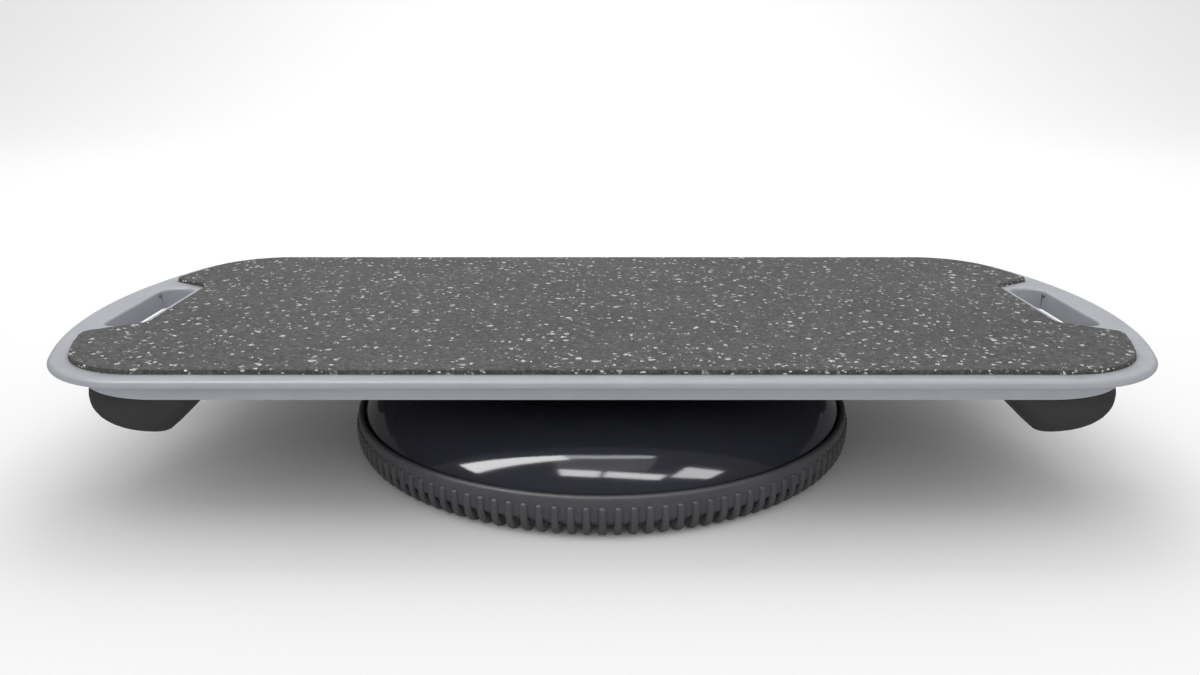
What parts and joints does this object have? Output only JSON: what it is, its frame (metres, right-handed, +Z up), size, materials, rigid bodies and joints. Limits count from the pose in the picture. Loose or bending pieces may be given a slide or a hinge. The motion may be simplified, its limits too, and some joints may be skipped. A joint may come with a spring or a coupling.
{
  "type": "balance board",
  "caption": "Standing balance board: flecked rubber mat on a moulded deck with hand holes and corner feet, tilting and swivelling over a domed round base with a toothed rubber ring.",
  "frame": {"origin": "floor point on the swivel axis, under the centre of the base", "axes": "+Z up along the swivel axis, X along the deck from hand hole to hand hole, +Y towards the rear edge"},
  "size_m": [0.66, 0.3256, 0.087],
  "materials": {
    "deck_plastic": "satin light grey moulded plastic",
    "mat_rubber": "matte recycled rubber with light flecks",
    "cover_plastic": "matte black moulded plastic",
    "foot_rubber": "matte dark grey rubber",
    "tread_rubber": "matte grey rubber",
    "bush_rubber": "matte black rubber",
    "dome_gloss": "polished black plastic",
    "base_plastic": "matte black moulded plastic",
    "cage_plastic": "natural nylon",
    "cast_alloy": "cast aluminium",
    "steel": "zinc plated steel"
  },
  "bodies": {
    "base": {"base_plate": "base_plastic", "dome_shell": "dome_gloss", "dome_screws": "steel", "tread_ring": "tread_rubber", "lower_race": "steel", "lower_race_screws": "steel", "swivel_bolt": "steel", "swivel_nut": "steel", "swivel_washer": "cage_plastic"},
    "ball_ring": {"ball_cage": "cage_plastic", "bearing_balls": "steel"},
    "turntable": {"turntable_yoke": "cast_alloy", "turntable_screws": "steel", "upper_race": "steel", "front_back_bushes": "bush_rubber"},
    "cross": {"cross_block": "steel", "long_pin": "steel", "stub_pins": "steel", "pin_clips": "steel"},
    "deck": {"deck_frame": "deck_plastic", "grip_mat": "mat_rubber", "underside_cover": "cover_plastic", "cover_screws": "steel", "deck_yoke": "cast_alloy", "deck_yoke_screws": "steel", "side_to_side_bushes": "bush_rubber", "foot_front_left": "foot_rubber", "foot_front_right": "foot_rubber", "foot_rear_left": "foot_rubber", "foot_rear_right": "foot_rubber", "foot_screws": "steel"}
  },
  "joints": [
    {"name": "swivel", "type": "hinge", "parent": "base", "child": "turntable", "pos_m": [0, 0, 0.0189], "axis": [0, 0, 1], "continuous": true},
    {"name": "ball_orbit", "type": "hinge", "parent": "base", "child": "ball_ring", "pos_m": [0, 0, 0.0189], "axis": [0, 0, 1], "continuous": true},
    {"name": "front_back_tilt", "type": "hinge", "parent": "turntable", "child": "cross", "pos_m": [0, 0, 0.046], "axis": [1, 0, 0], "range_deg": [-5, 5], "stiffness_Nm_per_rad": 40},
    {"name": "side_to_side_tilt", "type": "hinge", "parent": "cross", "child": "deck", "pos_m": [0, 0, 0.046], "axis": [0, 1, 0], "range_deg": [-9, 9], "stiffness_Nm_per_rad": 40}
  ],
  "couplings": [
    {"joint": "ball_orbit", "follows": "swivel", "ratio": 0.5}
  ]
}
